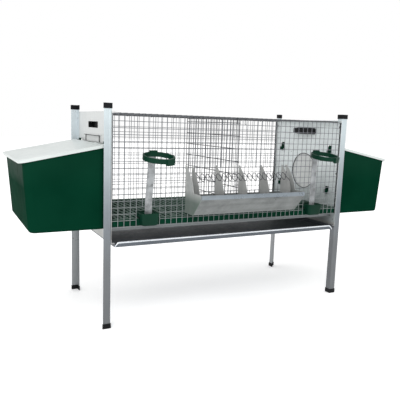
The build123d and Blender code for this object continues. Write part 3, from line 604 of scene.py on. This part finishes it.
def wall_net(node, name, windows, upright_first):
    low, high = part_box(node)
    pitch = (high.x - low.x - 2 * HALF_SOLID) / NET_CELLS
    row = (high.z - low.z - 2 * HALF_SOLID) / NET_ROWS
    columns = [low.x + HALF_SOLID + i * pitch for i in range(NET_CELLS + 1)]
    rows = [low.z + HALF_SOLID + j * row for j in range(NET_ROWS + 1)]
    near = low.y + HALF_SOLID + PRESS
    far = high.y - HALF_SOLID - PRESS
    upright_y, cross_y = (near, far) if upright_first else (far, near)
    shape = Shape()
    for i, x in enumerate(columns):
        gaps = [(rows[a] + WIRE, rows[b] - WIRE) for first, last, a, b in windows if first < i < last]
        for z0, z1 in runs(low.z, high.z, gaps):
            shape.wire(Vector((x, upright_y, z0)), Vector((x, upright_y, z1)), WIRE, row)
    for j, z in enumerate(rows):
        gaps = [(columns[first] + WIRE, columns[last] - WIRE) for first, last, a, b in windows if a < j < b]
        for x0, x1 in runs(low.x, high.x, gaps):
            shape.wire(Vector((x0, cross_y, z)), Vector((x1, cross_y, z)), WIRE, pitch)
    for i, x in enumerate(columns):
        for j, z in enumerate(rows):
            if not any(first < i < last and a < j < b for first, last, a, b in windows):
                shape.bead(Vector((x, (near + far) / 2, z)))
    shape.piece(name, "frame", "galvanised_wire", node)


# The net between the compartments: stouter wires, rods across them and a stout upright at each end
DIVIDER_CELLS = 20
DIVIDER_PITCH = 55 * MM
DIVIDER_WIRE = 1.4 * MM
DIVIDER_ROD = 1.8 * MM
DIVIDER_TOP_GAP = 4 * MM


def divider_net():
    low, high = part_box("divider_mesh")
    pitch = (high.y - low.y - 2 * HALF_SOLID) / DIVIDER_CELLS
    columns = [low.y + HALF_SOLID + i * pitch for i in range(DIVIDER_CELLS + 1)]
    rows = [low.z + HALF_SOLID]
    while rows[-1] + DIVIDER_PITCH < high.z - DIVIDER_TOP_GAP:
        rows.append(rows[-1] + DIVIDER_PITCH)
    rows.append(high.z - HALF_SOLID)
    left = low.x + HALF_SOLID + PRESS
    right = high.x - HALF_SOLID - PRESS
    shape = Shape()
    for y in columns:
        shape.wire(Vector((left, y, low.z)), Vector((left, y, high.z)), DIVIDER_WIRE, DIVIDER_PITCH)
    for z in rows:
        shape.wire(Vector((right, low.y, z)), Vector((right, high.y, z)), DIVIDER_ROD, pitch)
        for y in columns:
            shape.bead(Vector(((left + right) / 2, y, z)))
    for y in (columns[0], columns[-1]):
        shape.wire(Vector((left, y, low.z)), Vector((left, y, high.z)), DIVIDER_ROD, DIVIDER_PITCH)
    shape.piece("divider_net", "frame", "galvanised_wire", "divider_mesh", finish="shaded_wire")


# Top lids: a rod at the front and at the back, and a net of round wires between them
LID_ROD = 1.5 * MM
LID_CELLS = 21
LID_ROWS = 20
LID_FIRST_ROW = 8 * MM


def top_lid(side):
    node = f"top_lid_{side}"
    low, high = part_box(node)
    pitch = (high.x - low.x - 2 * HALF_SOLID) / LID_CELLS
    columns = [low.x + HALF_SOLID + k * pitch for k in range(LID_CELLS + 1)]
    front = low.y + LID_ROD
    back = high.y - LID_ROD
    first = front + LID_FIRST_ROW
    row = (back - first) / LID_ROWS
    rows = [first + j * row for j in range(LID_ROWS)]
    over = high.z - HALF_SOLID - PRESS
    under = over - 2 * HALF_SOLID + 2 * PRESS
    rod_z = high.z - 2 * HALF_SOLID - LID_ROD + PRESS
    shape = Shape()
    for y in (front, back):
        shape.wire(Vector((low.x, y, rod_z)), Vector((high.x, y, rod_z)), LID_ROD, pitch, ROD_SIDES)
    for y in rows:
        shape.wire(Vector((low.x, y, under)), Vector((high.x, y, under)), WIRE, pitch)
    for x in columns:
        shape.wire(Vector((x, low.y, over)), Vector((x, high.y, over)), WIRE, row)
        for y in (front, *rows, back):
            shape.bead(Vector((x, y, over - HALF_SOLID)))
    shape.piece(f"lid_net_{side}", node, "galvanised_wire", node, finish="shaded_wire")


# Lid hooks: one bent wire each, an eye round the lid's front rod, a shank and a turned-out tip
HOOK_WIRE = 1.3 * MM
HOOK_EYE = 2.9 * MM
HOOK_EYE_GAP = 0.7 * MM
HOOK_EYE_ANGLES = (-70, -370)
HOOK_EYE_STEPS = 14
HOOK_COIL = 0.8
HOOK_SHANK_SHARES = (0.3, 0.6, 0.85)
HOOK_BEND = 3.5 * MM
HOOK_BEND_ANGLES = (20, 45, 70, 90)
HOOK_TIP_RISE = 0.6 * MM


def lid_hook(side):
    node = f"lid_hook_{side}"
    low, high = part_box(node)
    x = (low.x + high.x) / 2
    eye_y = high.y - HOOK_EYE - HOOK_EYE_GAP
    eye_z = high.z - HOOK_EYE - HOOK_EYE_GAP
    path = []
    for i, (y, z) in enumerate(arc(eye_y, eye_z, HOOK_EYE, *HOOK_EYE_ANGLES, HOOK_EYE_STEPS)):
        shift = HOOK_COIL * HOOK_WIRE * (1 - i / HOOK_EYE_STEPS)
        path.append(Vector((x - shift, y, z)))
    shank = eye_z - HOOK_EYE
    foot = low.z + HOOK_WIRE
    for share in HOOK_SHANK_SHARES:
        path.append(Vector((x, eye_y, shank - share * (shank - foot - HOOK_BEND))))
    for angle in HOOK_BEND_ANGLES:
        turn = math.radians(angle)
        y = eye_y - HOOK_BEND * (1 - math.cos(turn))
        path.append(Vector((x, y, foot + HOOK_BEND * (1 - math.sin(turn)))))
    path.append(Vector((x, low.y + HOOK_WIRE, foot + HOOK_TIP_RISE)))
    shape = Shape()
    shape.tube(path, HOOK_WIRE, ROD_SIDES)
    shape.piece(f"wire_hook_{side}", node, "galvanised_wire", node, finish="shaded_wire")


# Domed rivets: the dome as shares of its height and of the head's radius, and two sizes
RIVET_DOME = ((1.0, 0.3), (0.82, 0.62), (0.5, 0.88), (0.15, 1.0), (0.0, 1.0))
PANEL_RIVET = {"shank": 2.4 * MM, "head": 4.5 * MM, "height": 1.5 * MM, "length": 3.0 * MM}
GUIDE_RIVET = {"shank": 1.6 * MM, "head": 2.8 * MM, "height": 1.0 * MM, "length": 4.0 * MM}


def rivet(shape, base, axis, length, shank, head, height):
    profile = [(-height * rise, head * share) for rise, share in RIVET_DOME]
    profile += [(0.0, shank), (length, shank)]
    profile += [(length + height * rise, head * share) for rise, share in reversed(RIVET_DOME)]
    shape.turned(base, axis, profile)


def side_rivets(node, name, size):
    low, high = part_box(node)
    ys = (low.y + size["head"], high.y - size["head"])
    zs = (low.z + size["head"], (low.z + high.z) / 2, high.z - size["head"])
    base = high.x - size["height"] - size["length"]
    shape = Shape()
    for sign in OUTWARD.values():
        for y in ys:
            for z in zs:
                rivet(shape, Vector((sign * base, y, z)), Vector((sign, 0, 0)), **size)
    shape.piece(name, "frame", "rivet_steel", node)


# The tray's rolled front hem, which follows the cut corners; its curve is in shares of a corner
TRAY_FLANGE = 12 * MM
TRAY_CORNER = 15 * MM
HEM_RADIUS = 1.5 * MM
HEM_STRETCH = 2.1
HEM_SIDES = 12
HEM_TOP_GAP = 1.6 * MM
HEM_FRONT_GAP = 0.9 * MM
HEM_TAIL = 2 * MM
HEM_CURVE = ((0.25, 0.75), (0.75, 0.2), (1.2, 0.0))


def tray_hem():
    low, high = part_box("droppings_tray")
    half = high.x - TRAY_FLANGE
    top = high.z - HEM_TOP_GAP
    y = low.y + HEM_FRONT_GAP
    bend = [(half, top - TRAY_CORNER - HEM_TAIL)]
    bend += [(half - along * TRAY_CORNER, top - down * TRAY_CORNER) for along, down in HEM_CURVE]
    path = [Vector((-x, y, z)) for x, z in bend]
    path += [Vector((x, y, z)) for x, z in reversed(bend)]
    shape = Shape()
    shape.tube(path, HEM_RADIUS, HEM_SIDES, tall=HEM_STRETCH)
    # The hem takes a much lighter finish than the tray: painted highlight.
    shape.piece("tray_front_hem", "tray", "tray_sheet", finish="highlit_tray_hem")


# The trough's lip is a folded strip: flat in the middle, rolled round at its top and bottom, slightly wavy
LIP_THICK = 3.4 * MM
LIP_TALL = 18 * MM
LIP_PROUD = 0.6 * MM
LIP_RISE = 0.2 * MM
LIP_ROLL_STEPS = 8
LIP_STEPS = 20
LIP_BOW = 0.2 * MM
LIP_WAVE = 2.6 * math.pi


def trough_lip():
    low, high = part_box("feeder_trough")
    roll = LIP_THICK / 2
    y = low.y - LIP_PROUD + roll
    top = high.z + LIP_RISE
    section = arc(y, top - roll, roll, 180, 0, LIP_ROLL_STEPS)
    section += arc(y, top - LIP_TALL + roll, roll, 0, -180, LIP_ROLL_STEPS)
    rings = []
    for i, x in enumerate(spread(low.x, high.x, LIP_STEPS)):
        bow = LIP_BOW * math.sin(LIP_WAVE * i / LIP_STEPS)
        rings.append([Vector((x, a + bow, b)) for a, b in section])
    shape = Shape()
    shape.skin(rings)
    # The lip takes a lighter, bluish finish than the trough: painted reflection.
    shape.piece("trough_lip", "feeder", "feeder_sheet", finish="reflection_tinted_lip")


# Legs: rolled angle steel with a round heel, softened flange tips and a pressed groove in one flange
LEG_WIDTH = 30 * MM
LEG_THICK = 2 * MM
LEG_HEEL = 4 * MM
LEG_ROOT = 2.5 * MM
LEG_TIP = 0.6 * MM
LEG_GROOVE = ((13.0 * MM, 0.0), (11.4 * MM, 0.5 * MM), (10.2 * MM, 0.5 * MM), (8.6 * MM, 0.0))
LEG_STEPS = 24


def leg_section():
    """Points of the section, as distances from its heel along both flanges."""
    tip = LEG_WIDTH - LEG_TIP
    soft = LEG_THICK - LEG_TIP
    root = LEG_THICK + LEG_ROOT
    half = [(LEG_THICK, tip), (soft, LEG_WIDTH), (LEG_TIP, LEG_WIDTH), (0.0, tip)]
    points = arc(LEG_HEEL, LEG_HEEL, LEG_HEEL, 270, 180, CORNER_STEPS)
    points += half[::-1]
    points += arc(root, root, LEG_ROOT, 180, 270, CORNER_STEPS)
    points += [(b, a) for a, b in half]
    points += LEG_GROOVE
    return points


def angle_leg(end, side):
    node = f"leg_{end}_{side}"
    low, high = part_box(node)
    out = OUTWARD[side]
    inward = INWARD[end]
    heel_x = inner(side, low, high)
    heel_y = low.y if end == "front" else high.y
    section = [(heel_x + out * a, heel_y + inward * b) for a, b in leg_section()]
    if out * inward > 0:
        section.reverse()
    rings = [[Vector((x, y, z)) for x, y in section] for z in spread(low.z, high.z, LEG_STEPS)]
    shape = Shape()
    shape.skin(rings)
    # The back legs take a lighter copy of the leg finish: painted light.
    finish = "lit_back_leg" if end == "back" else None
    shape.piece(f"angle_{end}_{side}", "frame", "leg_steel", node, finish=finish)


# Black strips behind the ends of the nets, with a flattened section: painted shade, a dark thing standing in
# for the shaded gap between the nets and the legs
SHADE_STRIP_WIDTHS = {"front": 5 * MM, "back": 10 * MM}
SHADE_STRIP_THICK = 1.4 * MM
SHADE_STRIP_INSET = 0.5 * MM
SHADE_STRIP_END_GAP = 2 * MM
SHADE_STRIP_SIDES = 16
SHADE_STRIP_STEPS = 17
SHADE_STRIP_SWAY = 0.15 * MM
SHADE_STRIP_POWER = 0.5


def squarer(share):
    """Pushes a sine or cosine outward, so that a circle becomes a rounded square."""
    return math.copysign(abs(share) ** SHADE_STRIP_POWER, share)


def add_shade_strip(node, end, side):
    low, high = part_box(node)
    half = SHADE_STRIP_WIDTHS[end] / 2
    deep = SHADE_STRIP_THICK / 2
    x = outer(side, low, high) - OUTWARD[side] * (SHADE_STRIP_INSET + half)
    y = (high.y if end == "front" else low.y) + INWARD[end] * deep
    section = []
    for turn in turns(SHADE_STRIP_SIDES):
        section.append((x + half * squarer(math.cos(turn)), y + deep * squarer(math.sin(turn))))
    rings = []
    for z in spread(low.z + SHADE_STRIP_END_GAP, high.z - SHADE_STRIP_END_GAP, SHADE_STRIP_STEPS):
        sway = chance.uniform(-SHADE_STRIP_SWAY, SHADE_STRIP_SWAY)
        rings.append([Vector((a + sway, b, z)) for a, b in section])
    shape = Shape()
    shape.skin(rings)
    shape.piece(f"net_shade_strip_{end}_{side}", "frame", "black_plastic")


# Black rings round the nest entrances in the side panels: painted shade, standing in for the shaded gap
# between the panels and the doors behind them
SHADE_RING_RADIUS = 90 * MM
SHADE_RING_TUBE = 1.6 * MM
SHADE_RING_STEPS = 48
ENTRANCE_HEIGHT = 587.5 * MM


def entrance_shade_ring(side):
    low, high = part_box(f"side_panel_{side}")
    x = outer(side, low, high) - OUTWARD[side] * SHADE_RING_TUBE
    y = (low.y + high.y) / 2
    path = []
    for turn in turns(SHADE_RING_STEPS):
        z = ENTRANCE_HEIGHT + SHADE_RING_RADIUS * math.sin(turn)
        path.append(Vector((x, y + SHADE_RING_RADIUS * math.cos(turn), z)))
    shape = Shape()
    shape.tube(path, SHADE_RING_TUBE, ROD_SIDES, closed=True)
    shape.piece(f"entrance_shade_ring_{side}", "frame", "black_plastic")


# Drinker cups: a tapered basin before the net, a shallow lip behind it and a bridge between them.
# Profiles are steps of inset and height in millimetres: up outside, over the rim and down inside.
# Heights of a rim are counted from the top.
CUP_BASIN = 38.5 * MM
CUP_WALL = 2.5 * MM
CUP_ROUND = 14 * MM
CUP_SHRINK = 0.3
CUP_RIM = ((0.0, -1.2), (0.0, -0.6), (0.7, 0.0), (1.9, 0.0), (2.6, -0.6))
BASIN_RIM = ((0.9, -4.0), *CUP_RIM, (3.5, -4.0))
BASIN_OUTSIDE = ((12.0, 0.0), (9.0, 1.4), (7.0, 4.0), (5.6, 8.0))
BASIN_INSIDE = ((8.1, 9.0), (10.0, 5.2), (13.0, 3.2))
CUP_LIP = 20 * MM
CUP_LIP_OUTSIDE = ((4.0, 0.0), (1.5, 1.2), (0.4, 4.0))
CUP_LIP_INSIDE = ((3.0, 5.5), (4.4, 3.4), (6.5, 2.6))
BRIDGE_START = 34 * MM
BRIDGE_END = 37.5 * MM
BRIDGE_TALL = 13 * MM
BRIDGE_ROUND = 0.8 * MM
BRIDGE_LOWER = ((0.4, 0.0), (0.0, 0.4))
BRIDGE_UPPER = ((0.0, -0.4), (0.4, 0.0))


def tub_ring(low, high, inset, front, back, z):
    """A rounded rectangle seen from above, with its own rounding at the front and at the back corners."""
    corners = (
        (low.x + inset + front, low.y + inset + front, front, 180),
        (high.x - inset - front, low.y + inset + front, front, 270),
        (high.x - inset - back, high.y - inset - back, back, 0),
        (low.x + inset + back, high.y - inset - back, back, 90),
    )
    ring = []
    for x, y, radius, start in corners:
        ring += [Vector((a, b, z)) for a, b in arc(x, y, radius, start, start + 90, CORNER_STEPS)]
    return ring


def tub(shape, low, high, outside, rim, inside, front, back, shrink=0.0):
    """A skin through a profile's steps between two corners; with shrink, a deeper inset is less rounded."""
    tall = (high.z - low.z) / MM
    profile = [*outside, *((inset, tall + drop) for inset, drop in rim), *inside]
    rings = []
    for inset, height in profile:
        rounding = front - shrink * inset * MM
        rings.append(tub_ring(low, high, inset * MM, rounding, back, low.z + height * MM))
    shape.skin(rings)


def drinker_cup(side):
    node = f"drinker_cup_{side}"
    low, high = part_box(node)
    basin_high = Vector((high.x, low.y + CUP_BASIN, high.z))
    lip_low = Vector((low.x, low.y + CUP_BASIN - CUP_WALL, high.z - CUP_LIP))
    bridge_low = Vector((low.x + CUP_WALL, low.y + BRIDGE_START, high.z - BRIDGE_TALL))
    bridge_high = Vector((high.x - CUP_WALL, low.y + BRIDGE_END, high.z))
    shape = Shape()
    tub(shape, low, basin_high, BASIN_OUTSIDE, BASIN_RIM, BASIN_INSIDE, CUP_ROUND, CUP_WALL, CUP_SHRINK)
    tub(shape, lip_low, high, CUP_LIP_OUTSIDE, CUP_RIM, CUP_LIP_INSIDE, CUP_WALL, 2 * CUP_WALL)
    tub(shape, bridge_low, bridge_high, BRIDGE_LOWER, BRIDGE_UPPER, (), BRIDGE_ROUND, BRIDGE_ROUND)
    shape.piece(f"moulded_cup_{side}", "frame", "green_plastic", node)


# Black lines round the upper edges of the sliding nest doors, painted shade standing in for the shadow under
# the fold: up the face, out over the fold and back
DOOR_SHADE_TUBE = 1.8 * MM
DOOR_SHADE_DROP = 26 * MM
DOOR_FACE = 2.0 * MM
DOOR_UP_SHARES = (1.0, 0.6, 0.3, 0.1)
DOOR_OUT_SHARES = (0.2, 0.6, 1.0)


def door_shade_line(side):
    node = f"nest_door_{side}"
    low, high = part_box(node)
    out = OUTWARD[side]
    face = inner(side, low, high) + out * DOOR_FACE
    tip = outer(side, low, high) - out * DOOR_SHADE_TUBE
    top = high.z - DOOR_SHADE_TUBE
    bend = [(face, top - DOOR_SHADE_DROP * share) for share in DOOR_UP_SHARES]
    bend += [(face + (tip - face) * share, top) for share in DOOR_OUT_SHARES]
    path = [Vector((x, low.y + DOOR_SHADE_TUBE, z)) for x, z in bend]
    path += [Vector((x, high.y - DOOR_SHADE_TUBE, z)) for x, z in reversed(bend)]
    shape = Shape()
    shape.tube(path, DOOR_SHADE_TUBE, ROD_SIDES)
    shape.piece(f"door_shade_line_{side}", node, "black_plastic")


# The pieces, in a fixed order, because the wires and the black strips of painted shade at the net ends draw
# on one source of chance
wall_net("front_mesh", "front_net", net_windows(), True)
wall_net("back_mesh", "back_net", [], False)
divider_net()
side_rivets("panel_rivets", "domed_panel_rivets", PANEL_RIVET)
side_rivets("guide_rivets", "domed_guide_rivets", GUIDE_RIVET)
tray_hem()
trough_lip()
for end in INWARD:
    for side in OUTWARD:
        angle_leg(end, side)
        add_shade_strip(f"{end}_mesh", end, side)
for side in OUTWARD:
    entrance_shade_ring(side)
    door_shade_line(side)
    drinker_cup(side)
for side in OUTWARD:
    top_lid(side)
    lid_hook(side)
add_camera()

# Pale plain floor, soft white surroundings and one large soft lamp from the front left
FLOOR_SIZE = 40
FLOOR_CLOUDS = 1.5
FLOOR_DARK = (0.955, 0.955, 0.955)
FLOOR_LIGHT = (0.975, 0.975, 0.975)
FLOOR_ROUGH = 0.9
FLOOR_GLOW = 0.28
LAMP_PLACE = Vector((-2.2, -2.6, 3.2))
LAMP_AIM = Vector((0, 0, 0.5))
LAMP_SIZE = 2.4
LAMP_WATTS = 90
WORLD_STRENGTH = 1.0


def add_floor():
    bpy.ops.mesh.primitive_plane_add(size=FLOOR_SIZE)
    floor = bpy.context.object
    floor.name = "floor"
    ground = Finish("pale_floor")
    colour = ground.blend(ground.noise(FLOOR_CLOUDS, detail=4.0), FLOOR_DARK, FLOOR_LIGHT)
    ground.set(Base_Color=colour, Roughness=FLOOR_ROUGH)
    ground.set(Emission_Color=WHITE, Emission_Strength=FLOOR_GLOW)
    floor.data.materials.append(ground.material)


def add_lamp():
    data = bpy.data.lights.new("key_lamp", "AREA")
    data.energy = LAMP_WATTS
    data.size = LAMP_SIZE
    lamp = bpy.data.objects.new("key_lamp", data)
    lamp.location = LAMP_PLACE
    lamp.rotation_euler = (LAMP_AIM - LAMP_PLACE).to_track_quat("-Z", "Y").to_euler()
    bpy.context.scene.collection.objects.link(lamp)


def add_world():
    world = bpy.data.worlds.new("world")
    world.use_nodes = True
    background = world.node_tree.nodes["Background"]
    background.inputs["Color"].default_value = (*WHITE, 1.0)
    background.inputs["Strength"].default_value = WORLD_STRENGTH
    bpy.context.scene.world = world


add_floor()
add_lamp()
add_world()
bpy.context.scene.view_settings.view_transform = "Standard"
